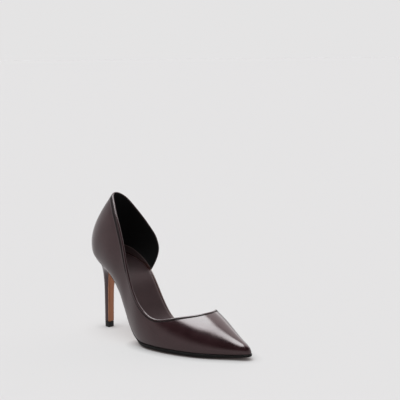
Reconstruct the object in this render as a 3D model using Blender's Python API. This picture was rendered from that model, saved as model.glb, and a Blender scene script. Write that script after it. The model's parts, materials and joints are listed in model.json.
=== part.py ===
"""Right court shoe with a pointed toe, a cut-away inner side and a slim heel.

Lengths are millimetres while the shapes are worked out and metres in the
scene. The toe points along +X, the inner side of the foot lies towards +Y and
the floor is z = 0. While the shapes are worked out the origin lies over the
middle of the heel tip, a little above the floor, and the floor rises a little
towards the toe. The finished shoe is tipped until that floor is level, and
moved so that its origin is the middle of its box on the floor.
"""
import math

import bpy
import numpy as np

MM = 0.001

# Main sizes
TOE_X = 206.3
BACK_X = -16.5
WALL = 1.5
GAP = 0.3
FLOOR_Z = -2.8
FLOOR_SLOPE = 0.0131
SOLE_THICK = 2.0
TREAD_EXTRA = 1.3
TREAD_BELLY = 0.6
TOE_THINNING = 1.1
INSOLE_THICK = 3.2
SOCK_THICK = 1.0
SOCK_INSET = 4.5
LIFT_TOP = 3.7
FLAP_THICK = 1.6
BED_DISH = 1.0
BALL_DISH = 1.6

# Mesh fineness
VAMP_COLUMNS = 46
QUARTER_COLUMNS = 40
LOBE_COLUMNS = 7
WALL_ROWS = 13
INSOLE_COLUMNS = 46
INSOLE_ROWS = 6
SOCK_COLUMNS = 34
SOCK_ROWS = 4
SOLE_COLUMNS = 46
SOLE_ROWS = 8
FLAP_ROWS = 16
HEEL_RINGS = 20


def table(names, rows):
    """Columns of a short table as arrays, found by name."""
    columns = np.array(rows, dtype=float).T
    return dict(zip(names, columns))


# Feather line: the lower edge of the upper, outer side (lat) and inner side (med)
FEATHER = table(
    ("x", "lat_y", "med_y", "lat_z", "med_z"),
    [
        (206.3, 2.5, 2.5, 6.3, 6.3),
        (205.3, -0.3, 5.3, 6.2, 6.2),
        (202.2, -2.7, 7.5, 5.8, 5.8),
        (197.0, -5.8, 9.9, 5.3, 5.3),
        (189.0, -10.6, 13.7, 4.9, 4.9),
        (180.0, -16.3, 18.3, 4.6, 4.6),
        (170.0, -22.2, 23.3, 4.4, 4.4),
        (160.0, -27.0, 27.8, 4.3, 4.3),
        (150.0, -30.6, 31.7, 4.3, 4.3),
        (140.0, -33.4, 34.9, 4.3, 4.3),
        (130.0, -35.6, 36.9, 4.2, 4.2),
        (120.0, -37.0, 37.5, 4.1, 4.1),
        (110.0, -37.6, 36.8, 4.0, 4.0),
        (100.0, -37.2, 34.6, 3.8, 3.8),
        (90.0, -35.8, 31.2, 3.7, 4.5),
        (80.0, -33.4, 27.8, 5.9, 9.1),
        (70.0, -30.8, 25.4, 13.8, 19.2),
        (60.0, -28.2, 24.6, 27.2, 34.4),
        (50.0, -25.3, 25.4, 42.0, 50.0),
        (40.0, -23.3, 26.4, 53.9, 62.0),
        (30.0, -22.1, 26.0, 62.6, 68.6),
        (20.0, -21.4, 24.3, 68.9, 73.0),
        (10.0, -20.4, 21.7, 74.3, 76.4),
        (0.0, -18.6, 18.7, 78.6, 79.5),
        (-8.0, -14.4, 14.4, 82.3, 82.5),
        (-13.5, -9.0, 9.0, 84.8, 84.8),
        (-16.5, 0.0, 0.0, 86.2, 86.2),
    ],
)

# Ridge of the vamp and the fullness of its two flanks
RIDGE = table(
    ("x", "y", "z", "swell", "rise", "crown"),
    [
        (206.3, 2.5, 6.4, 0.0, 0.42, 0.50),
        (205.3, 2.5, 10.1, 0.2, 0.42, 0.50),
        (202.2, 2.5, 13.0, 0.4, 0.42, 0.50),
        (197.0, 2.7, 15.5, 0.6, 0.42, 0.50),
        (189.0, 3.0, 19.2, 0.9, 0.42, 0.50),
        (180.0, 3.5, 24.0, 1.2, 0.42, 0.50),
        (170.0, 4.0, 29.6, 1.5, 0.43, 0.50),
        (160.0, 4.5, 35.2, 1.8, 0.44, 0.51),
        (150.0, 5.0, 39.8, 2.1, 0.45, 0.52),
        (140.0, 5.5, 43.6, 2.5, 0.46, 0.54),
        (130.0, 6.0, 47.0, 3.2, 0.47, 0.58),
        (120.0, 6.0, 50.2, 4.0, 0.49, 0.63),
        (110.0, 6.0, 54.0, 5.2, 0.52, 0.74),
        (100.0, 6.0, 59.5, 6.2, 0.55, 0.86),
        (90.0, 6.0, 68.0, 6.9, 0.58, 0.95),
        (80.0, 6.0, 80.0, 7.2, 0.60, 1.00),
    ],
)

# Throat: where each vamp line that leaves the feather at foot_x ends.
# Side is 1 for the inner half and -1 for the outer half. Share counts the
# way down from the ridge and has the sign of the half it lies on.
THROAT = table(
    ("foot_x", "side", "top_x", "share"),
    [
        (92.0, 1, 110.5, 0.76),
        (102.0, 1, 116.5, 0.70),
        (115.0, 1, 123.4, 0.625),
        (130.0, 1, 130.8, 0.53),
        (145.0, 1, 138.2, 0.42),
        (162.0, 1, 144.8, 0.29),
        (182.0, 1, 149.6, 0.14),
        (206.3, 1, 152.0, 0.0),
        (188.0, -1, 150.6, -0.14),
        (172.0, -1, 146.5, -0.26),
        (157.0, -1, 139.5, -0.37),
        (142.0, -1, 130.8, -0.465),
        (128.0, -1, 121.5, -0.55),
        (116.0, -1, 113.0, -0.61),
        (106.0, -1, 105.0, -0.63),
        (97.0, -1, 96.7, -0.62),
        (86.0, -1, 86.0, -0.59),
    ],
)

# Quarter: one line per row from the feather to the topline, round the heel.
# Low and high are how far the wall swells out below and above its middle,
# lead is how far its middle runs ahead of the straight line.
QUARTER = table(
    ("foot_x", "side", "top_x", "top_y", "top_z", "low", "high", "lead"),
    [
        (105.0, -1, 103.8, -35.8, 32.5, 2.6, 2.1, 0.0),
        (95.0, -1, 94.6, -36.7, 38.4, 2.8, 2.2, 0.0),
        (85.0, -1, 85.5, -36.4, 46.8, 2.9, 2.1, 0.0),
        (75.0, -1, 76.5, -34.6, 57.8, 3.0, 1.8, 0.0),
        (65.0, -1, 67.0, -31.0, 71.5, 3.7, 2.0, 0.0),
        (55.0, -1, 58.7, -27.5, 86.4, 5.5, 3.0, 0.0),
        (45.0, -1, 52.2, -23.9, 98.6, 7.6, 4.3, 0.0),
        (35.0, -1, 44.7, -20.6, 110.4, 9.8, 6.0, 0.0),
        (25.0, -1, 36.9, -17.2, 121.6, 11.6, 7.4, 0.0),
        (15.0, -1, 29.8, -14.0, 130.2, 12.2, 8.2, 0.0),
        (5.0, -1, 24.1, -10.7, 137.0, 12.6, 8.5, 0.0),
        (-4.0, -1, 19.1, -7.7, 142.1, 12.8, 8.5, 0.0),
        (-10.5, -1, 15.2, -5.1, 146.1, 12.9, 8.3, 0.0),
        (-14.5, -1, 12.5, -2.8, 148.6, 13.0, 8.1, 0.0),
        (-16.5, 1, 11.0, 0.2, 149.8, 13.0, 8.0, 0.0),
        (-14.5, 1, 12.6, 3.0, 149.8, 13.0, 8.1, 0.0),
        (-10.5, 1, 15.2, 5.6, 148.2, 12.9, 8.3, 0.0),
        (-4.0, 1, 18.6, 8.4, 145.2, 12.8, 8.5, 0.0),
        (5.0, 1, 22.6, 11.6, 140.0, 12.4, 8.5, 0.0),
        (15.0, 1, 28.6, 15.8, 131.2, 11.2, 8.2, 0.0),
        (25.0, 1, 36.2, 20.6, 120.0, 8.8, 6.8, 0.2),
        (31.0, 1, 42.2, 24.2, 110.6, 6.4, 4.8, 0.8),
        (35.5, 1, 46.6, 27.3, 102.2, 4.4, 3.2, 1.4),
        (39.0, 1, 49.0, 29.7, 93.4, 2.6, 1.8, 2.3),
    ],
)

# Heel: rings from the top lift to the seat. Front is the breast, back the
# rear line, half the half width and middle where the round back begins.
HEEL = table(
    ("front_x", "front_z", "back_x", "back_z", "half", "middle"),
    [
        (1.4, 4.0, -5.8, 4.0, 3.7, 0.60),
        (1.6, 22.0, -5.9, 22.0, 3.7, 0.60),
        (2.0, 40.0, -6.2, 40.0, 3.9, 0.60),
        (3.0, 50.0, -6.8, 51.0, 4.4, 0.62),
        (4.7, 57.0, -8.0, 60.5, 5.5, 0.66),
        (7.4, 61.8, -9.8, 68.4, 8.0, 0.72),
        (11.6, 65.2, -12.1, 75.7, 12.2, 0.79),
        (16.2, 67.3, -14.5, 81.3, 17.2, 0.85),
        (20.8, 68.3, -16.8, 85.7, 22.0, 0.89),
    ],
)


# Ends of the inner side where it is cut away, along the feather line
WING_X = THROAT["foot_x"][0]
LOBE_X = QUARTER["foot_x"][-1]


def spline(keys, values):
    """Natural cubic curve through the values at rising keys."""
    keys = np.asarray(keys, dtype=float)
    values = np.asarray(values, dtype=float)
    n = len(keys)
    step = np.diff(keys)
    matrix = np.eye(n)
    right = np.zeros(n)
    for i in range(1, n - 1):
        matrix[i, i - 1] = step[i - 1]
        matrix[i, i] = 2.0 * (step[i - 1] + step[i])
        matrix[i, i + 1] = step[i]
        rise = (values[i + 1] - values[i]) / step[i]
        fall = (values[i] - values[i - 1]) / step[i - 1]
        right[i] = 6.0 * (rise - fall)
    bend = np.linalg.solve(matrix, right)

    def at(key):
        key = min(max(float(key), keys[0]), keys[-1])
        i = int(np.clip(np.searchsorted(keys, key) - 1, 0, n - 2))
        a = (keys[i + 1] - key) / step[i]
        b = 1.0 - a
        curve = (a**3 - a) * bend[i] + (b**3 - b) * bend[i + 1]
        return a * values[i] + b * values[i + 1] + curve * step[i] ** 2 / 6.0

    return at


def turn(x):
    """Angle that runs from 0 at the toe to pi at the back of the heel."""
    share = (TOE_X - np.asarray(x, dtype=float)) / (TOE_X - BACK_X)
    return np.arccos(np.clip(1.0 - 2.0 * share, -1.0, 1.0))


def station(angle):
    """Place along the foot of an angle made by turn."""
    return TOE_X - (TOE_X - BACK_X) * (1.0 - math.cos(angle)) / 2.0


def by_turn(source):
    keys = turn(source["x"])
    return {name: spline(keys, column) for name, column in source.items() if name != "x"}


FEATHER_AT = by_turn(FEATHER)
RIDGE_AT = by_turn(RIDGE)


def feather(x, side):
    """Point of the feather line at x on one side."""
    name = "lat" if side < 0 else "med"
    angle = turn(x)
    return np.array([x, FEATHER_AT[name + "_y"](angle), FEATHER_AT[name + "_z"](angle)])


def outward(x, side):
    """Level direction that points away from the foot at the feather line."""
    angle = float(turn(x))
    low = feather(station(max(angle - 0.02, 0.0)), side)
    high = feather(station(min(angle + 0.02, math.pi)), side)
    along = high - low
    if abs(along[0]) + abs(along[1]) < 1e-6 or x <= BACK_X + 1e-6:
        return np.array([-1.0, 0.0, 0.0])
    flat = np.array([-along[1], along[0], 0.0]) * (-side)
    return flat / np.linalg.norm(flat)


def bezier(p0, p1, p2, p3, t):
    s = 1.0 - t
    return s**3 * p0 + 3 * s * s * t * p1 + 3 * s * t * t * p2 + t**3 * p3


def flank(x, side):
    """Four control points of one half of the vamp, feather to ridge."""
    angle = turn(x)
    foot = feather(x, side)
    top = np.array([x, RIDGE_AT["y"](angle), RIDGE_AT["z"](angle)])
    swell = RIDGE_AT["swell"](angle)
    rise = RIDGE_AT["rise"](angle) * (top[2] - foot[2])
    crown = RIDGE_AT["crown"](angle) * abs(top[1] - foot[1])
    low = foot + np.array([0.0, side * swell, rise])
    high = top + np.array([0.0, side * crown, 0.0])
    return foot, low, high, top


def girth(x, side):
    """Rough length of one half of the vamp at x."""
    foot, low, high, top = flank(x, side)
    legs = np.linalg.norm(low - foot) + np.linalg.norm(high - low) + np.linalg.norm(top - high)
    return 0.5 * (legs + np.linalg.norm(top - foot))


def vamp_point(x, across):
    """Point of the vamp; across counts from the ridge, plus on the inner half."""
    side = 1 if across >= 0 else -1
    full = max(girth(x, side), 1e-6)
    t = 1.0 - min(abs(across) / full, 1.0)
    return bezier(*flank(x, side), t)


THROAT_KEYS = np.array(
    [-side * float(turn(x)) for x, side in zip(THROAT["foot_x"], THROAT["side"])]
)
THROAT_X = spline(THROAT_KEYS, THROAT["top_x"])
THROAT_SHARE = spline(THROAT_KEYS, THROAT["share"])


def vamp_line(key, rows):
    """Points from the feather to the throat, straight on the flattened vamp."""
    side = 1 if key <= 0 else -1
    foot_x = station(abs(key))
    foot_across = side * girth(foot_x, side)
    top_x = THROAT_X(key)
    share = THROAT_SHARE(key)
    top_across = share * girth(top_x, 1 if share >= 0 else -1)
    points = []
    for r in rows:
        x = foot_x + (top_x - foot_x) * r
        across = foot_across + (top_across - foot_across) * r
        points.append(vamp_point(x, across))
    return np.array(points)


QUARTER_KEYS = np.array(
    [
        float(turn(x)) if side < 0 else 2.0 * math.pi - float(turn(x))
        for x, side in zip(QUARTER["foot_x"], QUARTER["side"])
    ]
)
QUARTER_AT = {
    name: spline(QUARTER_KEYS, QUARTER[name])
    for name in ("top_x", "top_y", "top_z", "low", "high", "lead")
}


def quarter_line(key, rows):
    """Points from the feather to the topline of the quarter or the heel."""
    side = -1 if key <= math.pi else 1
    x = station(key if side < 0 else 2.0 * math.pi - key)
    foot = feather(x, side)
    top = np.array([QUARTER_AT[name](key) for name in ("top_x", "top_y", "top_z")])
    away = outward(x, side)
    lead = np.array([QUARTER_AT["lead"](key), 0.0, 0.0])
    low = foot + (top - foot) / 3.0 + away * QUARTER_AT["low"](key) + lead * 0.4
    high = foot + (top - foot) * 2.0 / 3.0 + away * QUARTER_AT["high"](key) + lead * 1.6
    return np.array([bezier(foot, low, high, top, r) for r in rows])


def ease(value):
    value = min(max(value, 0.0), 1.0)
    return value * value * (3.0 - 2.0 * value)


def last_grid():
    """Face of the last, the lining side of the upper: one column per line."""
    rows = np.linspace(0.0, 1.0, WALL_ROWS + 1) ** 1.3
    vamp_end = float(turn(88.0))
    vamp_keys = np.linspace(THROAT_KEYS[0], vamp_end, VAMP_COLUMNS)
    blend_from = float(turn(104.0))
    columns = []
    for key in vamp_keys:
        line = vamp_line(key, rows)
        if key > blend_from:
            share = ease((key - blend_from) / (vamp_end - blend_from))
            line = (1.0 - share) * line + share * quarter_line(key, rows)
        columns.append(line)
    lobe_from = QUARTER_KEYS[-1] - 0.18
    quarter_keys = np.linspace(vamp_end, lobe_from, QUARTER_COLUMNS + 1)[1:]
    lobe_keys = np.linspace(lobe_from, QUARTER_KEYS[-1], LOBE_COLUMNS + 1)[1:]
    for key in np.concatenate([quarter_keys, lobe_keys]):
        columns.append(quarter_line(key, rows))
    return np.array(columns)


def grid_normals(grid):
    """Direction across a grid: up from the bed, into the shoe from the last."""
    along = np.gradient(grid, axis=0)
    up = np.gradient(grid, axis=1)
    normal = np.cross(along, up)
    size = np.linalg.norm(normal, axis=2, keepdims=True)
    return normal / np.maximum(size, 1e-9)


class Shape:
    """Points and faces of one solid, gathered piece by piece."""

    def __init__(self):
        self.points = []
        self.faces = []

    def grid(self, grid):
        """Add the points of a grid and return their numbers."""
        columns, rows = grid.shape[:2]
        start = len(self.points)
        self.points.extend(grid.reshape(-1, 3).tolist())
        return start + np.arange(columns * rows).reshape(columns, rows)

    def skin(self, numbers, flip=False):
        for c in range(numbers.shape[0] - 1):
            for r in range(numbers.shape[1] - 1):
                quad = [numbers[c, r], numbers[c + 1, r], numbers[c + 1, r + 1], numbers[c, r + 1]]
                self.faces.append(quad[::-1] if flip else quad)

    def slab(self, front, back):
        """Close two like grids into one solid; front is the side looked at."""
        a = self.grid(front)
        b = self.grid(back)
        self.skin(a)
        self.skin(b, flip=True)
        around_a = np.concatenate([a[:, 0], a[-1, 1:], a[-2::-1, -1], a[0, -2:0:-1]])
        around_b = np.concatenate([b[:, 0], b[-1, 1:], b[-2::-1, -1], b[0, -2:0:-1]])
        n = len(around_a)
        for i in range(n):
            j = (i + 1) % n
            self.faces.append([around_a[j], around_a[i], around_b[i], around_b[j]])
        return self

    def tower(self, rings):
        """Close a stack of like rings, the lowest one first, into one solid."""
        numbers = self.grid(np.array(rings))
        n = numbers.shape[1]
        for low, high in zip(numbers[:-1], numbers[1:]):
            for i in range(n):
                j = (i + 1) % n
                self.faces.append([low[i], low[j], high[j], high[i]])
        self.faces.append(list(numbers[0][::-1]))
        self.faces.append(list(numbers[-1]))


def upper_shape():
    """Wall of leather outside the last, rolled in and flush with the bed at its foot."""
    inner = last_grid()
    thick = np.full(WALL_ROWS + 1, WALL)
    thick[:2] *= (0.45, 0.85)
    outer = inner - grid_normals(inner) * thick[:, None]
    outer[:, 0, 2] = [bed_z(x, y) for x, y, z in outer[:, 0]]
    return Shape().slab(inner, outer)


def ball(x):
    """Share from 0 at the waist and at the toe to 1 under the ball of the foot."""
    return ease((x - 76.0) / 26.0) * ease((200.0 - x) / 42.0)


def bed_z(x, y):
    """Height of the surface that the insole lies on."""
    low = feather(x, -1)
    high = feather(x, 1)
    t = (y - low[1]) / max(high[1] - low[1], 1e-6)
    t = min(max(t, 0.0), 1.0)
    dish = BED_DISH * ease((60.0 - x) / 60.0) * ease((x - BACK_X) / 16.0) + BALL_DISH * ball(x)
    return low[2] + (high[2] - low[2]) * t - dish * 4.0 * t * (1.0 - t)


def rim(angle, side, inset):
    """Point of the feather outline moved inwards by inset, seen from above."""
    x = station(angle)
    point = feather(x, side) - outward(x, side) * inset
    return point[:2]


def bed_grid(angles, inset, across):
    """Grid on the bed from the inner to the outer edge."""
    columns = []
    for angle in angles:
        med = rim(angle, 1, inset(station(angle), 1))
        lat = rim(angle, -1, inset(station(angle), -1))
        line = []
        for t in np.linspace(0.0, 1.0, across + 1):
            x, y = med + (lat - med) * t
            line.append((x, y, bed_z(x, y)))
        columns.append(line)
    return np.array(columns)


def wall_lean(x, side):
    """Level run of the inside of the wall for each step up from the feather."""
    if side > 0 and LOBE_X < x < WING_X:
        return 0.0
    if x > 97.0 or (side > 0 and x >= WING_X):
        line = vamp_line(-side * float(turn(x)), (0.0, 0.1))
    else:
        key = float(turn(x))
        line = quarter_line(key if side < 0 else 2.0 * math.pi - key, (0.0, 0.1))
    step = line[1] - line[0]
    return float(np.dot(step, outward(x, side)) / step[2])


def open_waist(x, side):
    """Share from 0 beside the wall to 1 where the inner side is cut away."""
    if side < 0:
        return 0.0
    return (1.0 - ease((x - 83.0) / 7.0)) * (1.0 - ease((55.0 - x) / 13.0))


def insole_inset(x, side):
    """Clear of the wall of the upper, nearly flush along the open waist."""
    beside = GAP + 2.0 * ease((x - 165.0) / 30.0)
    return beside + (0.2 - beside) * open_waist(x, side)


def lifted(bed, height):
    """Grid straight above the bed, so that it clears the bed by the height."""
    top = bed.copy()
    top[:, :, 2] += height / grid_normals(bed)[:, :, 2]
    return top


def insole_shape():
    """Board whose edge leans out with the wall that it meets."""
    angles = np.linspace(float(turn(196.0)), float(turn(BACK_X + 0.02)), INSOLE_COLUMNS)
    bed = bed_grid(angles, insole_inset, INSOLE_ROWS)
    top = lifted(bed, INSOLE_THICK)
    share = np.linspace(1.0, 0.0, INSOLE_ROWS + 1)[:, None]
    for i, angle in enumerate(angles):
        x = station(angle)
        for side, row, weight in ((1, 0, share), (-1, -1, 1.0 - share)):
            rise = top[i, row, 2] - bed[i, row, 2]
            reach = max(wall_lean(x, side), 0.0) * rise * (1.0 - open_waist(x, side))
            top[i] += outward(x, side) * 0.9 * reach * weight**2
    return Shape().slab(top, bed)


def sock_shape():
    angles = np.linspace(float(turn(165.0)), float(turn(BACK_X + 0.1)), SOCK_COLUMNS)

    def inset(x, side):
        return insole_inset(x, side) + SOCK_INSET

    bed = bed_grid(angles, inset, SOCK_ROWS)
    low = lifted(bed, INSOLE_THICK + GAP)
    return Shape().slab(lifted(bed, INSOLE_THICK + GAP + SOCK_THICK), low)


def floor_z(x):
    """Height of the floor under the shoe before it is tipped."""
    return FLOOR_Z + FLOOR_SLOPE * x


def sole_inset(x, side):
    """Nearly flush with the outside of the wall, drawn in along the open waist."""
    beside = GAP - WALL
    return beside + (0.8 - beside) * open_waist(x, side)


def sole_bevel(x, side):
    """Lower edge of the sole, drawn in under the waist."""
    return sole_inset(x, side) + 0.3 + 3.4 * ease((98.0 - x) / 30.0)


def sole_thick(x):
    """Thickness along the edge, most beside the tread and less at the waist and the toe."""
    return SOLE_THICK + TREAD_EXTRA * ease((x - 50.0) / 45.0) - TOE_THINNING * ease((x - 160.0) / 46.0)


def heel_ring(key):
    """One ring of the heel: front edge first, then the round back."""
    front_x, front_z, back_x, back_z, half, middle = (HEEL_AT[n](key) for n in HEEL_NAMES)
    centre = back_x + (front_x - back_x) * middle
    breast = half * 0.94
    flat = []
    for t in np.linspace(-1.0, 1.0, SOLE_ROWS + 1):
        flat.append((front_x, breast * t))
    for t in (0.34, 0.68):
        flat.append((front_x + (centre - front_x) * t, breast + (half - breast) * t))
    for angle in np.linspace(math.pi / 2.0, -math.pi / 2.0, 19):
        flat.append((centre - (centre - back_x) * math.cos(angle), half * math.sin(angle)))
    for t in (0.68, 0.34):
        flat.append((front_x + (centre - front_x) * t, -breast - (half - breast) * t))
    ring = []
    slope = (back_z - front_z) / (back_x - front_x)
    seat = ease((key - 6.5) / 1.5)
    for x, y in flat:
        z = front_z + slope * (x - front_x)
        ring.append((x, y, z + (bed_z(x, y) - GAP - z) * seat))
    return np.array(ring)


HEEL_NAMES = ("front_x", "front_z", "back_x", "back_z", "half", "middle")
HEEL_AT = {n: spline(np.arange(len(HEEL["half"])), HEEL[n]) for n in HEEL_NAMES}


def heel_shape():
    shape = Shape()
    last = len(HEEL["half"]) - 1
    rings = [heel_ring(key) for key in np.linspace(0.0, last, HEEL_RINGS)]
    top = rings[-1]
    centre = np.array([4.0, 0.0])
    for share in (0.86, 0.70, 0.50, 0.25):
        ring = []
        for x, y in centre + (top[:, :2] - centre) * share:
            ring.append((x, y, bed_z(x, y) - GAP))
        rings.append(np.array(ring))
    shape.tower(rings)
    return shape


def sole_shape():
    """Sole from the toe to the heel, then its flap down the breast."""
    angles = np.linspace(float(turn(TOE_X - 0.2)), float(turn(25.5)), SOLE_COLUMNS)
    bed = bed_grid(angles, sole_inset, SOLE_ROWS)
    up = grid_normals(bed)
    top = bed - up * GAP
    across = np.linspace(0.0, 1.0, SOLE_ROWS + 1)
    dome = TREAD_BELLY * 4.0 * across * (1.0 - across)
    thick = np.array([sole_thick(station(angle)) + dome * ball(station(angle)) for angle in angles])
    low = bed_grid(angles, sole_bevel, SOLE_ROWS) - up * (GAP + thick[:, :, None])
    low[:, :, 2] = np.maximum(low[:, :, 2], floor_z(low[:, :, 0]))
    last = len(HEEL["half"]) - 1
    keys = np.linspace(last, 0.0, FLAP_ROWS)
    spots = np.array([(HEEL_AT["front_x"](k), HEEL_AT["front_z"](k)) for k in keys])
    spots[0, 1] = bed_z(spots[0, 0], 0.0) - GAP
    along = np.gradient(spots, axis=0)
    along = along / np.linalg.norm(along, axis=1, keepdims=True)
    flap_top = []
    flap_low = []
    for i, key in enumerate(keys):
        breast = heel_ring(key)[SOLE_ROWS::-1]
        away = np.array([-along[i, 1], 0.0, along[i, 0]])
        thick = FLAP_THICK + (SOLE_THICK - FLAP_THICK) * ease(1.0 - 2.0 * i / FLAP_ROWS)
        flap_top.append(breast + away * GAP)
        flap_low.append(breast + away * (GAP + thick))
    flap_top = np.array(flap_top)
    flap_low = np.array(flap_low)
    return Shape().slab(np.concatenate([top, flap_top]), np.concatenate([low, flap_low]))


def lift_shape():
    """Block under the heel and the end of the flap."""
    ring = heel_ring(0.0)
    reach = GAP + FLAP_THICK
    share = (ring[:, 0] - ring[:, 0].min()) / (ring[:, 0].max() - ring[:, 0].min())
    ring[:, 0] = ring[:, 0] + reach * share
    centre = ring.mean(axis=0)
    rings = []
    for above, size in ((0.0, 0.94), (0.5, 1.0), (None, 1.0)):
        level = centre + (ring - centre) * size
        level[:, 2] = LIFT_TOP if above is None else floor_z(level[:, 0]) + above
        rings.append(level)
    shape = Shape()
    shape.tower(rings)
    return shape


SHAPES = {
    "upper": upper_shape(),
    "insole": insole_shape(),
    "sock": sock_shape(),
    "outsole": sole_shape(),
    "heel": heel_shape(),
    "top_lift": lift_shape(),
}
COLOURS = {
    "upper": (0.045, 0.026, 0.025),
    "insole": (0.060, 0.036, 0.034),
    "sock": (0.050, 0.030, 0.028),
    "outsole": (0.320, 0.170, 0.100),
    "heel": (0.045, 0.026, 0.025),
    "top_lift": (0.010, 0.010, 0.010),
}


def tipped(points):
    """Points turned about the Y axis until the floor is level."""
    angle = math.atan(FLOOR_SLOPE)
    x, y, z = np.array(points).T
    ahead = x * math.cos(angle) + z * math.sin(angle)
    above = z * math.cos(angle) - x * math.sin(angle)
    return np.stack([ahead, y, above], axis=1)


def middle_shift():
    """Move that puts the middle of the tipped shoe's box over the origin, on the floor."""
    points = np.concatenate([tipped(shape.points) for shape in SHAPES.values()])
    low = points.min(axis=0)
    high = points.max(axis=0)
    return np.array([-(low[0] + high[0]) / 2.0, -(low[1] + high[1]) / 2.0, -low[2]])


SHIFT = middle_shift()


def clear_scene():
    for item in list(bpy.data.objects):
        bpy.data.objects.remove(item, do_unlink=True)


def material(name, colour):
    made = bpy.data.materials.new(name)
    made.use_nodes = True
    surface = made.node_tree.nodes["Principled BSDF"]
    surface.inputs["Base Color"].default_value = (*colour, 1.0)
    surface.inputs["Roughness"].default_value = 0.4
    return made


def add_node(name, shape):
    mesh = bpy.data.meshes.new(name)
    points = [tuple(point) for point in (tipped(shape.points) + SHIFT) * MM]
    faces = [tuple(int(i) for i in face) for face in shape.faces]
    mesh.from_pydata(points, [], faces)
    mesh.update()
    mesh.materials.append(material(name, COLOURS[name]))
    item = bpy.data.objects.new(name, mesh)
    bpy.context.scene.collection.objects.link(item)
    return item


clear_scene()
for node_name, node_shape in SHAPES.items():
    add_node(node_name, node_shape)
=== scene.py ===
# %% [markdown]
# # A dark brown court shoe with a slim heel
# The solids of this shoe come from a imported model: the upper, the insole, the
# sock on it, the outsole with its flap, the heel and the block under the heel.
# They carry the shape. This lesson gives them the looks of the real shoe:
# smooth leather that shines, a folded and stitched topline, a black lining,
# an inked sole edge and a tan flap on the front of the heel.

# %% Load the solids
import json
import math

import bpy
import numpy as np
from mathutils import Matrix, Vector
from mathutils.bvhtree import BVHTree
from mathutils.kdtree import KDTree

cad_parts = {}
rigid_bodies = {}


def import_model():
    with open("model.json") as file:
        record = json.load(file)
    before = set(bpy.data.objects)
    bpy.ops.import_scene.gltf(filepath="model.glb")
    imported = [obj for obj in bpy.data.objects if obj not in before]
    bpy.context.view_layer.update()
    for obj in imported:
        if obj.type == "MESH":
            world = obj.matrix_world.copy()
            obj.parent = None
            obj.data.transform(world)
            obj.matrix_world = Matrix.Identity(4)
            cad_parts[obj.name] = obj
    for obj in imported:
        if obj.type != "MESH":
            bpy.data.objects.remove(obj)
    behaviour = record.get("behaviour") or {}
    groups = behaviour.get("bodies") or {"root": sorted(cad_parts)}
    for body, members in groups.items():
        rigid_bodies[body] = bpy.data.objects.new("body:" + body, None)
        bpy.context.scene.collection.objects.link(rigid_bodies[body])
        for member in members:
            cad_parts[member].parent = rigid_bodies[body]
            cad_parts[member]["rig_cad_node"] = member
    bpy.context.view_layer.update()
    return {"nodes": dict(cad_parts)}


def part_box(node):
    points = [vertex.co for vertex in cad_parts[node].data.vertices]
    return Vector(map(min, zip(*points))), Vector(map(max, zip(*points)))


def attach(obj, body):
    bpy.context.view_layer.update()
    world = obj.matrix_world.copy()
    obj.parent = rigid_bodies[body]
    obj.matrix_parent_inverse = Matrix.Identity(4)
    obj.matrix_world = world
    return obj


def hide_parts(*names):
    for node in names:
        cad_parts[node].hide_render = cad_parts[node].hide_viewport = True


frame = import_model()
nodes = frame["nodes"]
MM = 0.001
print("solids:", ", ".join(sorted(nodes)))

# %% [markdown]
# ## Copies to work on
# A solid stays as it is, so each piece starts as a copy of one. The copy's
# triangles are loose, so they are merged first and then paired into quads,
# because a subdivided quad mesh bends light evenly and a triangle mesh doesn't.
# Leather is glossy, and gloss shows every dent.

# %% Copy helpers
MERGE, QUAD_ANGLE = 0.02 * MM, 50


def only(piece):
    """Select one object and nothing else."""
    bpy.ops.object.select_all(action="DESELECT")
    piece.select_set(True)
    bpy.context.view_layer.objects.active = piece


def working_copy(node, name):
    """Merged copy of a solid, in quads, under a name of its own."""
    only(nodes[node])
    bpy.ops.object.duplicate()
    piece = bpy.context.active_object
    piece.name = name
    piece.data.name = name
    del piece["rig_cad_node"]
    bpy.ops.object.parent_clear(type="CLEAR_KEEP_TRANSFORM")
    piece.data.materials.clear()
    bpy.ops.mesh.customdata_custom_splitnormals_clear()
    bpy.ops.object.mode_set(mode="EDIT")
    bpy.ops.mesh.select_all(action="SELECT")
    bpy.ops.mesh.remove_doubles(threshold=MERGE)
    bpy.ops.mesh.tris_convert_to_quads(
        face_threshold=math.radians(QUAD_ANGLE), shape_threshold=math.pi, topology_influence=2.0
    )
    bpy.ops.object.mode_set(mode="OBJECT")
    quads = sum(len(face.vertices) == 4 for face in piece.data.polygons)
    print(name, len(piece.data.polygons), "faces,", quads, "of them quads")
    return piece


upper = working_copy("upper", "leather_upper")
insole = working_copy("insole", "wrapped_insole")
sock = working_copy("sock", "sock_lining")
outsole = working_copy("outsole", "leather_outsole")
heel = working_copy("heel", "covered_heel")
lift = working_copy("top_lift", "heel_block")

# %% [markdown]
# ## Faces by side
# The wall of the upper has an outside, a lining side and a narrow edge between
# them. Edges sharper than about 45 degrees part the three, so they become
# seams. Selecting what is linked up to the seams then gives one side at a time,
# as with the L key in edit mode.

# %% Sides of a shell
OUTSIDE, LINING, EDGE = 0, 1, 2
SEAM_ANGLE, SAME_WAY = 45, 0.7


def mark_seams(piece, degrees):
    """Turn the edges sharper than some angle into seams."""
    only(piece)
    bpy.ops.object.mode_set(mode="EDIT")
    bpy.ops.mesh.select_mode(type="EDGE")
    bpy.ops.mesh.select_all(action="DESELECT")
    bpy.ops.mesh.edges_select_sharp(sharpness=math.radians(degrees))
    bpy.ops.mesh.mark_seam(clear=False)
    bpy.ops.object.mode_set(mode="OBJECT")


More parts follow.
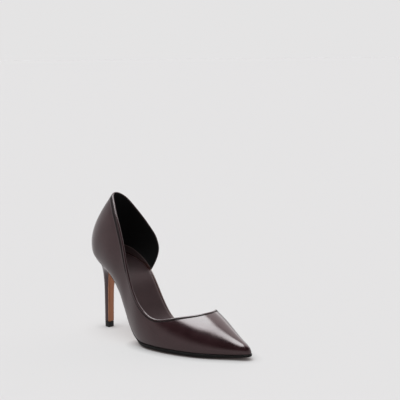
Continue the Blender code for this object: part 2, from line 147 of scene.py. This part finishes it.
def linked_faces(piece, seed):
    """Numbers of the faces that hang together with one face, up to the seams."""
    only(piece)
    bpy.ops.object.mode_set(mode="EDIT")
    bpy.ops.mesh.select_mode(type="FACE")
    bpy.ops.mesh.select_all(action="DESELECT")
    bpy.ops.object.mode_set(mode="OBJECT")
    piece.data.polygons[seed].select = True
    bpy.ops.object.mode_set(mode="EDIT")
    bpy.ops.mesh.select_linked(delimit={"SEAM"})
    bpy.ops.object.mode_set(mode="OBJECT")
    return {face.index for face in piece.data.polygons if face.select}


def furthest_face(piece, direction):
    """Number of the face that lies furthest along a direction and looks that way."""
    way = Vector(direction).normalized()
    faces = [face for face in piece.data.polygons if face.normal.dot(way) > SAME_WAY]
    return max(faces, key=lambda face: face.center.dot(way)).index


def inner_face_near(piece, number):
    """Number of the face just behind another one, across the wall."""
    face = piece.data.polygons[number]
    faces = [other for other in piece.data.polygons if other.normal.dot(face.normal) < -SAME_WAY]
    return min(faces, key=lambda other: (other.center - face.center).length).index


mark_seams(upper, SEAM_ANGLE)
outer_seed = furthest_face(upper, (0, -1, 0))
outer_faces = linked_faces(upper, outer_seed)
inner_faces = linked_faces(upper, inner_face_near(upper, outer_seed))
for face in upper.data.polygons:
    face.material_index = EDGE
    if face.index in outer_faces:
        face.material_index = OUTSIDE
    elif face.index in inner_faces:
        face.material_index = LINING
print("upper sides:", len(outer_faces), "outside,", len(inner_faces), "lining")

# %% [markdown]
# ## Line of the topline
# The topline runs from the end of the heel quarter over the collar, down the
# outer quarter, round the throat and to the end of the vamp on the inner side.
# It is the line between the outside and the edge of the wall, without the part
# that looks at the floor. Walking from edge to edge puts its points in order,
# and the outside's own normals say which way the leather looks there.

# %% Walk along the topline
FLOORWARDS = -0.5


def edge_faces(mesh):
    """The faces beside each edge."""
    sides = {}
    for face in mesh.polygons:
        for key in face.edge_keys:
            sides.setdefault(key, []).append(face)
    return sides


def topline(shell):
    """Ordered points of the topline and the way that the outside looks at each."""
    mesh = shell.data
    steps = {}
    for key, (one, two) in ((k, f) for k, f in edge_faces(mesh).items() if len(f) == 2):
        kinds = {one.material_index: one, two.material_index: two}
        if set(kinds) == {OUTSIDE, EDGE} and kinds[EDGE].normal.z > FLOORWARDS:
            steps.setdefault(key[0], []).append(key[1])
            steps.setdefault(key[1], []).append(key[0])
    looks = {}
    for face in mesh.polygons:
        if face.material_index == OUTSIDE:
            for number in face.vertices:
                looks[number] = looks.get(number, Vector()) + face.normal
    here = min((n for n in steps if len(steps[n]) == 1), key=lambda n: mesh.vertices[n].co.x)
    order = [here]
    while True:
        ahead = [n for n in steps[order[-1]] if n not in order[-2:]]
        if not ahead:
            break
        order.append(ahead[0])
    points = np.array([mesh.vertices[n].co for n in order])
    normals = np.array([looks[n].normalized() for n in order])
    return points, normals


rim_points, rim_normals = topline(upper)
print("topline:", len(rim_points), "points of the solid")

# %% [markdown]
# ## Even steps along the topline
# The solid's points lie at uneven distances, and a fold that is swept over them
# would show it. So the line is measured and read again at even steps. Each step
# also gets three directions: along the line, out from the wall, and down from
# the edge over the wall.

# %% Step along the topline
STEP, EASE_PASSES = 1.0 * MM, 5


def unit(ways):
    """Directions with a length of 1."""
    return ways / np.linalg.norm(ways, axis=1, keepdims=True)


def lengths(line):
    """Length of a line up to each of its points."""
    return np.concatenate([[0], np.cumsum(np.linalg.norm(np.diff(line, axis=0), axis=1))])


def smoothed(line, passes):
    """Line whose points are drawn towards their neighbours."""
    for _ in range(passes):
        line[1:-1] = (line[:-2] + 2.0 * line[1:-1] + line[2:]) / 4.0
    return line


def resample(values, spots, step):
    """Values at even steps along a line, with corners eased a little."""
    even = np.arange(0.0, spots[-1], step)
    made = np.stack([np.interp(even, spots, column) for column in values.T], axis=1)
    return smoothed(made, EASE_PASSES)


rim_spots = lengths(rim_points)
rim = resample(rim_points, rim_spots, STEP)
rim_out = unit(resample(rim_normals, rim_spots, STEP))
rim_down = unit(np.cross(unit(np.gradient(rim, axis=0)), rim_out))
print("topline: %.0f mm in %d points" % (rim_spots[-1] / MM, len(rim)))

# %% [markdown]
# ## Smooth pieces
# Subdivision turns the flat faces into one even skin and rounds the corners.
# Corners that stay crisp on the real shoe, as on the cut edge of the sole, get
# a crease first. The level is the same for the view and the render, and the
# modifier is applied, so that the piece is plain mesh in the end.

# %% Subdivide
CORNER_STEP = 0.5 * MM


def crease_corners(piece, degrees, value):
    """Hold the corners sharper than some angle, and give points along them."""
    mesh = piece.data
    sides = {key: [face.normal for face in faces] for key, faces in edge_faces(mesh).items()}
    crease = mesh.attributes.new("crease_edge", "FLOAT", "EDGE")
    points = []
    for edge in mesh.edges:
        looks = sides[edge.key]
        if len(looks) == 2 and looks[0].angle(looks[1], 0.0) > math.radians(degrees):
            crease.data[edge.index].value = value
            one, two = (mesh.vertices[n].co for n in edge.vertices)
            count = 1 + int((two - one).length / CORNER_STEP)
            points += [one.lerp(two, i / count) for i in range(count + 1)]
    return points


def subdivide(piece, levels):
    """Apply a subdivision surface and shade it smooth."""
    only(piece)
    smooth = piece.modifiers.new("Smooth skin", "SUBSURF")
    smooth.levels = levels
    smooth.render_levels = levels
    bpy.ops.object.modifier_apply(modifier=smooth.name)
    bpy.ops.object.shade_smooth()
    print(piece.name, len(piece.data.polygons), "faces")


corners = {}
for piece, degrees, value, levels in (
    (upper, 45, 0.35, 2),
    (insole, 45, 0.30, 2),
    (sock, 45, 0.45, 2),
    (outsole, 50, 1.00, 2),
    (heel, 45, 0.70, 2),
    (lift, 45, 0.75, 2),
):
    corners[piece.name] = crease_corners(piece, degrees, value)
    subdivide(piece, levels)

# %% [markdown]
# ## Edge of the sole
# The cut edge of the sole is inked and its tread isn't. The faces that stand
# upright are the edge. On the outer side the ink starts beside the waist, where
# the edge comes out from under the upper, and widens from a point. Faces that
# look up are glued to the pieces above them, and are inked too, so that no tan
# shows in the narrow gap.

# %% Choose the inked faces
TAN, INKED = 0, 1
FLAP_X, TOE_X = -66 * MM, 60 * MM
FULL_X, TAPER_LONG = -6 * MM, 16 * MM
STEEP, INNER_STEEP = 0.55, 0.80
SIDEWAYS, START_SIDEWAYS, INNER_SIDEWAYS = 0.50, 0.95, 0.36
UPWARDS = 0.3


def on_edge(place, look):
    """Does a face of the outsole belong to its edge?"""
    if place.y < 0.0:
        start = min(1.0, max(0.0, (FULL_X - place.x) / TAPER_LONG))
        sideways = SIDEWAYS + (START_SIDEWAYS - SIDEWAYS) * start
        beside = abs(look.y) > sideways and abs(look.z) < STEEP
    else:
        beside = abs(look.y) > INNER_SIDEWAYS and abs(look.z) < INNER_STEEP
    return beside or (place.x > TOE_X and abs(look.z) < STEEP)


for face in outsole.data.polygons:
    dark = on_edge(face.center, face.normal) or face.normal.z > UPWARDS
    face.material_index = INKED if dark and face.center.x > FLAP_X else TAN
inked = sum(face.material_index == INKED for face in outsole.data.polygons)
print("outsole:", inked, "faces inked")

# %% [markdown]
# ## Where the edges wear
# Leather is rubbed first along its edges, where it turns lighter and duller.
# Each piece remembers in an attribute how close a point is to a corner of its
# solid, and the finishes below read that attribute.

# %% Mark the edges


def mark_edges(piece, points, reach):
    """Attribute that fades from 1 on the corners of a piece to 0 at some reach."""
    tree = KDTree(len(points))
    for number, point in enumerate(points):
        tree.insert(point, number)
    tree.balance()
    near = [max(0.0, 1.0 - tree.find(v.co)[2] / reach) for v in piece.data.vertices]
    edge = piece.data.attributes.new("edge", "FLOAT", "POINT")
    edge.data.foreach_set("value", near)
    print(piece.name, "has", sum(n > 0.0 for n in near), "points by its edges")


WORN_REACH = ((upper, 2.5), (insole, 3.0), (sock, 1.6), (outsole, 2.0), (heel, 2.5), (lift, 1.2))
for piece, reach in WORN_REACH:
    mark_edges(piece, corners[piece.name], reach * MM)

# %% [markdown]
# ## Sock leather on the wall
# Inside the shoe the brown leather of the sock doesn't stop at the foot of the
# wall. It is turned up against the lining and ends in a cut edge, which is
# highest beside the heel. On the outer side the edge sinks slowly towards the
# ball, on the inner side it comes down to the end of the heel quarter. The
# leather is thinner than a millimetre, so the wall only remembers how far each
# point lies below that edge.

# %% Mark the turned-up leather
TURN_HEEL, TURN_END = 7.2 * MM, 0.8 * MM
HEEL_X, QUARTER_X, BALL_X = -82 * MM, -57 * MM, 10 * MM

bed = BVHTree.FromPolygons(
    [v.co for v in insole.data.vertices], [tuple(f.vertices) for f in insole.data.polygons]
)
below = []
for vertex in upper.data.vertices:
    end_x = QUARTER_X if vertex.co.y > 0.0 else BALL_X
    forward = min(1.0, max(0.0, (vertex.co.x - HEEL_X) / (end_x - HEEL_X)))
    high = TURN_HEEL + (TURN_END - TURN_HEEL) * forward
    below.append(high - bed.find_nearest(vertex.co)[3])
mark = upper.data.attributes.new("below_turn", "FLOAT", "POINT")
mark.data.foreach_set("value", below)
print("turned-up leather:", sum(b > 0.0 for b in below), "points of the wall")

# %% [markdown]
# ## Lines beside the topline
# The fold and its stitches follow the topline at small distances. A curve with a
# profile would twist on its way round the throat, so each line is worked out one
# by one: at every step a point is set out from the middle of the wall (out) and
# away from its edge (down), both in millimetres. Further down the points follow
# the wall itself. Below the stitches a line sinks into the wall on the vamp.

# %% Lay lines beside the topline
WALL = 1.5 * MM
BELOW_STITCHES, SUNK = 3.0, 0.70
LOW_END, HIGH_END = -24 * MM, -42 * MM
FOLLOW_FROM, FOLLOW_LONG = 0.5, 1.5
LAY_PASSES = 3

outside = [face for face in upper.data.polygons if face.material_index == OUTSIDE]
wall_points = [v.co for v in upper.data.vertices]
wall = BVHTree.FromPolygons(wall_points, [tuple(face.vertices) for face in outside])


def ease(share):
    """Smooth step from 0 to 1."""
    share = np.clip(share, 0.0, 1.0)
    return share * share * (3.0 - 2.0 * share)


def lay(out, down):
    """Points along the topline, so far out from the wall's middle and down from its edge."""
    if down > BELOW_STITCHES:
        out = SUNK + (out - SUNK) * ease((LOW_END - rim[:, :1]) / (LOW_END - HIGH_END))
    flat = rim + rim_down * down * MM
    follow = ease((down - FOLLOW_FROM) / FOLLOW_LONG)
    hits = [wall.find_nearest(Vector(point)) for point in flat]
    spots = flat + (np.array([hit[0] for hit in hits]) - flat) * follow
    ways = rim_out + (np.array([hit[1] for hit in hits]) - rim_out) * follow
    return smoothed(spots + ways * (out * MM - WALL / 2.0), LAY_PASSES)


print("wall to follow:", len(outside), "faces")

# %% [markdown]
# ## Folded topline
# Along the topline the leather is folded over the edge of the wall and sewn
# down. The edge itself is a round bead. The stitches draw the leather in below
# it, and on the collar and the outer quarter it rises again below the stitches,
# which shows as a dark line under a light one. A short table holds the outline
# of the fold as pairs of out and down, and a closed tube carries it along the
# topline. Its strips get the finish of the outside, the lining or the groove,
# and the groove's brown is darkened as painted shade.

# %% Sweep the fold
FOLD_PROFILE = (
    (0.60, 5.60), (0.76, 5.35), (0.86, 4.90), (0.95, 4.40), (0.98, 4.00), (0.94, 3.70),
    (0.84, 3.40), (0.79, 2.90), (0.79, 2.35), (0.88, 2.05), (1.06, 1.65), (1.18, 1.10),
    (1.15, 0.60), (0.97, 0.18), (0.62, -0.10), (0.20, -0.20), (-0.20, -0.20), (-0.60, -0.10),
    (-0.90, 0.14), (-0.98, 0.42), (-0.94, 0.66), (-0.78, 0.62), (-0.66, 0.42), (-0.30, 0.28),
    (0.30, 0.28), (0.60, 0.60),
)
POLISHED, TURNED, GROOVE = 0, 1, 2
GROOVE_TOP, GROOVE_LOW = 1.8, 4.3
LINING_OUT, GROOVE_OUT = -0.3, 0.7
FOLD_ANGLE = 50


def strip_kind(out_1, down_1, out_2, down_2):
    """Finish of the strip between two points of the profile."""
    if max(out_1, out_2) < LINING_OUT:
        return TURNED
    drawn_in = GROOVE_TOP < (down_1 + down_2) / 2.0 < GROOVE_LOW
    return GROOVE if drawn_in and min(out_1, out_2) > GROOVE_OUT else POLISHED


def sweep(name, profile):
    """Closed tube that carries a profile along the topline."""
    grid = np.stack([lay(out, down) for out, down in profile], axis=1)
    count, across = grid.shape[:2]
    faces = []
    for i in range(count - 1):
        for j in range(across):
            k = (j + 1) % across
            near, far = i * across, (i + 1) * across
            faces.append((near + j, near + k, far + k, far + j))
    faces.append(tuple(range(across))[::-1])
    faces.append(tuple((count - 1) * across + j for j in range(across)))
    mesh = bpy.data.meshes.new(name)
    mesh.from_pydata(grid.reshape(-1, 3).tolist(), [], faces)
    pairs = [(profile[j], profile[(j + 1) % across]) for j in range(across)]
    kinds = [strip_kind(*one, *two) for one, two in pairs]
    for face in mesh.polygons[: (count - 1) * across]:
        face.material_index = kinds[face.index % across]
    piece = bpy.data.objects.new(name, mesh)
    bpy.context.scene.collection.objects.link(piece)
    only(piece)
    bpy.ops.object.mode_set(mode="EDIT")
    bpy.ops.mesh.select_all(action="SELECT")
    bpy.ops.mesh.normals_make_consistent(inside=False)
    bpy.ops.object.mode_set(mode="OBJECT")
    bpy.ops.object.shade_smooth_by_angle(angle=math.radians(FOLD_ANGLE))
    return piece


fold = sweep("topline_fold", FOLD_PROFILE)
print("fold:", len(fold.data.polygons), "faces")

# %% [markdown]
# ## One stitch
# One row of short stitches holds the fold. A stitch is a small ball drawn out
# to the length of the thread that shows, with its two ends sunk. A ball has a
# round back and pointed ends with few faces, so it is better here than a bent
# tube.

# %% Model a stitch
STITCH_LONG, STITCH_WIDE, STITCH_HIGH = 1.7 * MM, 0.42 * MM, 0.34 * MM

bpy.ops.object.select_all(action="DESELECT")
bpy.ops.mesh.primitive_uv_sphere_add(segments=8, ring_count=6, radius=0.5)
stitch = bpy.context.active_object
stitch.name = "topline_stitches"
bpy.ops.object.mode_set(mode="EDIT")
bpy.ops.mesh.select_all(action="SELECT")
bpy.ops.transform.rotate(value=math.pi / 2, orient_axis="Y", center_override=(0, 0, 0))
bpy.ops.transform.resize(value=(STITCH_LONG, STITCH_WIDE, STITCH_HIGH), center_override=(0, 0, 0))
bpy.ops.object.mode_set(mode="OBJECT")
bpy.ops.object.shade_smooth()
print("one stitch:", len(stitch.data.polygons), "faces")

# %% [markdown]
# ## Row of stitches
# The stitch is copied to each place along the line and turned with it. An array
# on a curve would bend the stitches and twist them like the fold, so the places
# are worked out. The copies are joined at the end, because the row is one thing
# on the shoe.

# %% Sew the row
STITCH_PITCH, ROW_END = 2.2 * MM, 1.5 * MM
STITCH_OUT, STITCH_DOWN = 0.86, 2.62

spots = lay(STITCH_OUT, STITCH_DOWN)
along = unit(np.gradient(spots, axis=0))
beside = unit(np.cross(rim_out, along))
path = lengths(spots)
places = np.searchsorted(path, np.arange(ROW_END, path[-1] - ROW_END, STITCH_PITCH))
row = []
for i in places:
    axes = np.stack([along[i], beside[i], np.cross(along[i], beside[i])], axis=1)
    copy = stitch.copy()
    copy.data = stitch.data.copy()
    copy.matrix_world = Matrix.Translation(spots[i]) @ Matrix(axes.tolist()).to_4x4()
    bpy.context.scene.collection.objects.link(copy)
    row.append(copy)
bpy.data.objects.remove(stitch, do_unlink=True)
stitch = row[0]
only(stitch)
for copy in row:
    copy.select_set(True)
bpy.ops.object.join()
bpy.ops.object.transform_apply(location=True, rotation=True, scale=True)
stitch.name = "topline_stitches"
print("stitches:", len(places), "in", len(stitch.data.polygons), "faces")

# %% [markdown]
# ## Helpers for finishes
# A finish is a node tree. Written node by node it is hard to read, so two small
# classes stand in for it. `Value` is one number that changes over a surface and
# takes Python's operators, each of which adds a Math node. `Finish` holds the
# tree and adds every other kind of node.

# %% Value and Finish


class Value:
    """Number on a surface. Operators on it add Math nodes to its tree."""

    def __init__(self, finish, socket):
        self.finish = finish
        self.socket = socket

    def math(self, operation, first, second):
        node = self.finish.node("ShaderNodeMath", {"operation": operation}, {0: first, 1: second})
        return Value(self.finish, node.outputs[0])

    def __add__(self, other):
        return self.math("ADD", self, other)

    def __radd__(self, other):
        return self.math("ADD", other, self)

    def __sub__(self, other):
        return self.math("SUBTRACT", self, other)

    def __rsub__(self, other):
        return self.math("SUBTRACT", other, self)

    def __mul__(self, other):
        return self.math("MULTIPLY", self, other)

    def __rmul__(self, other):
        return self.math("MULTIPLY", other, self)


class Finish:
    """Node tree under work, of a material or of the world."""

    def __init__(self, owner, shader):
        owner.use_nodes = True
        self.owner = owner
        self.tree = owner.node_tree
        self.tree.nodes.clear()
        self.shader = self.node(shader)

    def node(self, kind, settings=None, values=None):
        """Add a node: its settings first, then a number or a link for each socket."""
        node = self.tree.nodes.new(kind)
        for name, setting in (settings or {}).items():
            setattr(node, name, setting)
        self.feed(node, values or {})
        return node

    def feed(self, node, values):
        for name, given in values.items():
            given = given.socket if isinstance(given, Value) else given
            if isinstance(given, bpy.types.NodeSocket):
                self.tree.links.new(given, node.inputs[name])
            else:
                node.inputs[name].default_value = given

    def value(self, kind, settings=None, values=None, output=0):
        return Value(self, self.node(kind, settings, values).outputs[output])

    def place(self):
        return self.node("ShaderNodeTexCoord").outputs["Object"]

    def noise(self, scale, detail=3.0, place=None):
        values = {"Vector": place or self.place(), "Scale": scale, "Detail": detail}
        return self.value("ShaderNodeTexNoise", None, values)

    def pores(self, scale):
        values = {"Vector": self.place(), "Scale": scale}
        return self.value("ShaderNodeTexVoronoi", {"feature": "DISTANCE_TO_EDGE"}, values)

    def attribute(self, name):
        return self.value("ShaderNodeAttribute", {"attribute_name": name}, None, "Fac")

    def fade(self, value, low, high):
        """0 below one value, 1 above another, eased between them."""
        values = {0: value, 1: low, 2: high}
        return self.value("ShaderNodeMapRange", {"interpolation_type": "SMOOTHSTEP"}, values)

    def blend(self, factor, one, two):
        """Colour between two colours."""
        values = {0: factor, 6: one, 7: two}
        node = self.node("ShaderNodeMix", {"data_type": "RGBA"}, values)
        return node.outputs[2]

    def bump(self, height, depth):
        """Normal from a height of 0 to 1 that stands for a depth in metres."""
        values = {"Strength": 1.0, "Distance": depth, "Height": height}
        return self.node("ShaderNodeBump", None, values).outputs["Normal"]

    def surface(self, **values):
        """Set the shader's sockets, named with _ for a blank, and close the tree."""
        self.feed(self.shader, {name.replace("_", " "): value for name, value in values.items()})
        of_world = isinstance(self.owner, bpy.types.World)
        output = self.node("ShaderNodeOutputWorld" if of_world else "ShaderNodeOutputMaterial")
        self.tree.links.new(self.shader.outputs[0], output.inputs["Surface"])
        return self.owner


def material(name):
    return Finish(bpy.data.materials.new(name), "ShaderNodeBsdfPrincipled")


def colour(red, green, blue):
    return (red, green, blue, 1.0)


print("helpers ready")

# %% [markdown]
# ## Brown leather
# The upper, the heel and the wrap of the insole are smooth dark brown leather
# with a polished skin. It is nearly black in the shade. Its colour is a little
# uneven, its pores are too fine to see one by one, and where it is rubbed along
# an edge the brown shows lighter. The polish gives crisp highlights, and where
# it mirrors little light they take on some of the brown. The sock is the same
# leather with less polish.

# %% Leather finish
WARM_SHEEN = colour(1.0, 0.80, 0.81)
PORE_DEEP = 0.006 * MM


def leather(name, deep, light, rough, shine):
    """Polished leather between two browns."""
    f = material(name)
    cloud = f.fade(f.noise(60.0, 4.0), 0.32, 0.70)
    fine = f.noise(420.0, 3.0)
    pore = f.fade(f.pores(2600.0), 0.0, 0.22)
    edge = f.attribute("edge") * f.fade(f.noise(260.0), 0.25, 0.75)
    tone = cloud * 0.55 + fine * 0.35 + (1.0 - pore) * 0.10
    skin = f.blend(tone, colour(*deep), colour(*light))
    worn = f.blend(edge * 0.3, skin, colour(*(2.2 * part for part in light)))
    roughness = rough + (fine - 0.5) * 0.06 + (cloud - 0.5) * 0.04 + edge * 0.08
    height = pore * 0.4 + fine * 0.6
    return f.surface(
        Base_Color=worn,
        Roughness=roughness,
        Specular_IOR_Level=shine,
        Specular_Tint=WARM_SHEEN,
        Normal=f.bump(height, PORE_DEEP),
    )


brown = leather(
    "brown leather",
    deep=(0.0140, 0.0052, 0.0060),
    light=(0.0245, 0.0098, 0.0112),
    rough=0.165,
    shine=0.62,
)
wrap = leather(
    "insole wrap",
    deep=(0.0230, 0.0076, 0.0060),
    light=(0.0400, 0.0140, 0.0110),
    rough=0.16,
    shine=0.60,
)
inside = leather(
    "sock leather",
    deep=(0.0190, 0.0080, 0.0088),
    light=(0.0310, 0.0134, 0.0146),
    rough=0.42,
    shine=0.50,
)
print("leather:", brown.name, wrap.name, inside.name)

# %% [markdown]
# ## Lining and groove
# The lining is black and dull, with the fine nap of suede, down to the edge of
# the sock leather that is turned up against it. The wall remembers how far a
# point lies below that edge, so one finish can show both. The turned-up leather
# is painted a lighter brown than the sock, as painted light, and a still lighter
# line along its cut edge is a painted highlight. The strip that the stitches draw
# in is dull brown leather, and its darker brown is painted shade.

# %% Finishes of the lining and the groove
EDGE_SOFT, EDGE_LOW = 0.6 * MM, 1.3 * MM


def lining_finish():
    f = material("black lining")
    nap = f.noise(1800.0, 4.0)
    cloud = f.noise(90.0)
    below = f.attribute("below_turn")
    turned = f.fade(below, 0.0, EDGE_SOFT)
    cut_edge_highlight = turned * (1.0 - f.fade(below, EDGE_SOFT, EDGE_LOW))
    suede = f.blend(cloud, colour(0.0030, 0.0024, 0.0026), colour(0.0060, 0.0048, 0.0050))
    # Painted light: the turned-up leather gets a lighter brown than the sock leather, and the
    # line along its cut edge an even lighter one as a painted highlight.
    skin = f.blend(cloud, colour(0.0400, 0.0240, 0.0245), colour(0.0620, 0.0380, 0.0390))
    strip = f.blend(cut_edge_highlight, skin, colour(0.140, 0.090, 0.090))
    return f.surface(
        Base_Color=f.blend(turned, suede, strip),
        Roughness=0.78 + (nap - 0.5) * 0.2 - turned * 0.34,
        Specular_IOR_Level=0.25,
        Normal=f.bump(nap * (1.0 - turned * 0.8) + turned * 8.0, 0.05 * MM),
    )


def shaded_groove_finish():
    f = material("unpolished groove")
    nap = f.noise(1500.0, 3.0)
    # Painted shade: the groove's brown is darker than the leather's, while its dullness is the
    # leather's own.
    skin = f.blend(nap, colour(0.0060, 0.0030, 0.0032), colour(0.0140, 0.0070, 0.0074))
    return f.surface(
        Base_Color=skin,
        Roughness=0.62 + (nap - 0.5) * 0.2,
        Specular_IOR_Level=0.15,
        Normal=f.bump(nap, 0.02 * MM),
    )


lining = lining_finish()
shaded_groove = shaded_groove_finish()
print("finishes:", lining.name, shaded_groove.name)

# %% [markdown]
# ## Sole
# The sole is tan leather, waxed smooth, and darker where hands and floor rub its
# corners. Its cut edge is inked black. A noise that is stretched flat shows the
# layers of the leather through the ink.

# %% Finishes of the sole


def tan_finish():
    f = material("tan sole leather")
    cloud = f.fade(f.noise(70.0, 5.0), 0.3, 0.7)
    fibre = f.noise(900.0, 4.0)
    edge = f.attribute("edge")
    mottle = cloud * 0.6 + fibre * 0.4
    skin = f.blend(mottle, colour(0.34, 0.128, 0.054), colour(0.46, 0.188, 0.082))
    dark = f.blend(edge * 0.35, skin, colour(0.14, 0.055, 0.028))
    return f.surface(
        Base_Color=dark,
        Roughness=0.36 + fibre * 0.14,
        Normal=f.bump(fibre, 0.015 * MM),
    )


def ink_finish():
    f = material("inked sole edge")
    flat = {"Vector": f.place(), "Scale": (260.0, 260.0, 3200.0)}
    layers = f.noise(1.0, 3.0, f.node("ShaderNodeMapping", None, flat).outputs[0])
    worn = f.attribute("edge") * f.fade(layers, 0.45, 0.75)
    skin = f.blend(worn * 0.4, colour(0.004, 0.003, 0.003), colour(0.026, 0.018, 0.016))
    return f.surface(
        Base_Color=skin,
        Roughness=0.42 + layers * 0.2,
        Specular_IOR_Level=0.15,
        Normal=f.bump(layers, 0.04 * MM),
    )


tan = tan_finish()
ink = ink_finish()
print("finishes:", tan.name, ink.name)

# %% [markdown]
# ## Thread and rubber
# The thread matches the leather. Its twist is too fine for geometry, so a fine
# noise stands for it. The block under the heel is hard black rubber, with a
# grey scuff here and there along its corners.

# %% Finishes of the thread and the block


def thread_finish():
    f = material("brown thread")
    twist = f.noise(5000.0, 2.0)
    skin = f.blend(twist, colour(0.010, 0.005, 0.005), colour(0.026, 0.013, 0.013))
    return f.surface(
        Base_Color=skin,
        Roughness=0.5 + twist * 0.2,
        Specular_IOR_Level=0.2,
        Normal=f.bump(twist, 0.02 * MM),
    )


def rubber_finish():
    f = material("black rubber")
    grain = f.noise(1500.0, 4.0)
    scuff = f.attribute("edge") * f.fade(f.noise(500.0), 0.4, 0.7)
    skin = f.blend(scuff * 0.5, colour(0.006, 0.006, 0.006), colour(0.035, 0.034, 0.033))
    return f.surface(
        Base_Color=skin,
        Roughness=0.42 + grain * 0.2,
        Specular_IOR_Level=0.3,
        Normal=f.bump(grain, 0.02 * MM),
    )


thread = thread_finish()
rubber = rubber_finish()
print("finishes:", thread.name, rubber.name)

# %% [markdown]
# ## Finishes on the pieces
# A face holds the number of its finish, and a piece lists its finishes in that
# order. The narrow edge of the wall lies under the fold and is plain brown.

# %% Put the finishes on
for piece, finishes in (
    (upper, (brown, lining, brown)),
    (fold, (brown, lining, shaded_groove)),
    (stitch, (thread,)),
    (insole, (wrap,)),
    (sock, (inside,)),
    (outsole, (tan, ink)),
    (heel, (brown,)),
    (lift, (rubber,)),
):
    for finish in finishes:
        piece.data.materials.append(finish)
    print(piece.name, "has", ", ".join(finish.name for finish in finishes))

# %% [markdown]
# ## Floor
# The shoe stands on a pale floor that runs to the horizon. A wide disc does for
# it. It glows a little by itself and less close to the shoe, which gives it soft
# shadows under the sole without a hard lamp.

# %% Floor
FLOOR_RADIUS = 80.0
FLOOR_COLOUR, FLOOR_GLOW = colour(0.205, 0.178, 0.181), colour(0.445, 0.445, 0.443)
SHADE_REACH = 14 * MM

bpy.ops.object.select_all(action="DESELECT")
bpy.ops.mesh.primitive_circle_add(
    vertices=64, radius=FLOOR_RADIUS, fill_type="NGON", location=(0, 0, 0)
)
floor = bpy.context.active_object
floor.name = "studio_floor"
ground = material("studio floor")
shade = ground.node(
    "ShaderNodeAmbientOcclusion", {"samples": 16}, {"Distance": SHADE_REACH, "Color": FLOOR_GLOW}
)
floor.data.materials.append(ground.surface(
    Base_Color=FLOOR_COLOUR,
    Roughness=0.9,
    Specular_IOR_Level=0.0,
    Emission_Color=shade.outputs["Color"],
    Emission_Strength=1.0,
))
print("floor:", floor.name)

# %% [markdown]
# ## Light
# The light is the world itself: as bright as the floor near the horizon, so
# that the two meet without a line, darker above, and bright overhead like a
# large lamp behind a cloth. A white screen stands on the inner side of the
# shoe. Polished leather mirrors these zones, which is what makes its highlights,
# and their borders are easier to place here than with lamps. Dull surfaces get
# only a share of the lamp and the screen, so that the brown stays dark beside
# them.

# %% Light
HAZE, LAMP, SCREEN, SPILL = 0.781, 12.8, 2.2, 0.25
HAZE_COLOUR, LAMP_COLOUR = colour(1.0, 0.992, 0.994), colour(0.84, 1.0, 1.0)
LAMP_WAY = Vector((-0.15, -0.13, 1.0)).normalized()
LAMP_RIM, HAZE_RIM = (0.914, 0.952), (0.34, 0.74)
TOE_RIM, TOE_LOWER = (-0.70, -0.10), 0.15
SCREEN_BACK, SCREEN_END, SCREEN_FOOT = (0.10, 0.35), (0.15, 0.45), (0.12, 0.40)

scene = bpy.context.scene
scene.view_settings.view_transform = "Standard"
scene.world = bpy.data.worlds.new("studio light")
studio = Finish(scene.world, "ShaderNodeBackground")
way = studio.node("ShaderNodeTexCoord").outputs["Generated"]
parts = studio.node("ShaderNodeSeparateXYZ", None, {0: way})
aside, away, height = (Value(studio, parts.outputs[i]) for i in range(3))
product = {"operation": "DOT_PRODUCT"}
along_lamp = studio.value("ShaderNodeVectorMath", product, {0: way, 1: LAMP_WAY}, "Value")
ahead = studio.fade(aside, *TOE_RIM)
haze = 1.0 - studio.fade(height + ahead * TOE_LOWER, *HAZE_RIM)
lamp = studio.fade(along_lamp, *LAMP_RIM)
behind = studio.fade(away, *SCREEN_BACK) * (1.0 - studio.fade(aside, *SCREEN_END))
screen = behind * studio.fade(height, *SCREEN_FOOT)
spread = studio.value("ShaderNodeLightPath", None, None, "Is Diffuse Ray")
share = 1.0 - spread * (1.0 - SPILL)
lamps = lamp * LAMP + screen * SCREEN * (1.0 - lamp)
tint = studio.blend(lamp * (1.0 - spread), HAZE_COLOUR, LAMP_COLOUR)
studio.surface(Color=tint, Strength=haze * HAZE + lamps * share)
print("light:", scene.world.name)

# %% [markdown]
# ## Camera
# The photo looks at the outer side of the shoe from a little above, with the
# toe to the right. The camera's place is given from the middle of the heel's
# tip: so far back along the line of sight, so far to the side and so far up,
# in the camera's own directions. The photo leans by about half a degree, so
# the camera is rolled by as much.

# %% Camera
TURN, TILT, ROLL = math.radians(43.577), math.radians(7.783), math.radians(-0.548)
BACK, ASIDE, ABOVE = 1196 * MM, 101.7 * MM, 139.4 * MM
TIP_AHEAD, TIP_UP = 1.25 * MM, 2.8 * MM
LENS, SENSOR, FAR = 95.58, 36.0, 300.0
level = Vector((math.cos(TURN), math.sin(TURN), 0.0))
back = Vector((math.sin(TURN) * math.cos(TILT), -math.cos(TURN) * math.cos(TILT), math.sin(TILT)))
right = math.cos(ROLL) * level + math.sin(ROLL) * back.cross(level)
up = back.cross(right)
low, high = (Vector(corner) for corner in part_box("top_lift"))
tip = Vector(((low.x + high.x) / 2.0 + TIP_AHEAD, (low.y + high.y) / 2.0, TIP_UP))
camera = bpy.data.objects.new("camera", bpy.data.cameras.new("camera"))
scene.collection.objects.link(camera)
camera.data.sensor_width = SENSOR
camera.data.lens = LENS
camera.data.clip_end = FAR
facing = Matrix((right, up, back)).transposed().to_4x4()
camera.matrix_world = Matrix.Translation(tip + BACK * back + ASIDE * right + ABOVE * up) @ facing
scene.camera = camera
print("camera at", [round(part, 3) for part in camera.matrix_world.translation])

# %% [markdown]
# ## Pieces on the body
# Every piece rides on the one body of the shoe, and the solid that it stands for
# is hidden.

# %% Bodies
for piece, node in (
    (upper, "upper"),
    (insole, "insole"),
    (sock, "sock"),
    (outsole, "outsole"),
    (heel, "heel"),
    (lift, "top_lift"),
):
    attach(piece, "root")
    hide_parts(node)
for piece in (fold, stitch):
    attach(piece, "root")
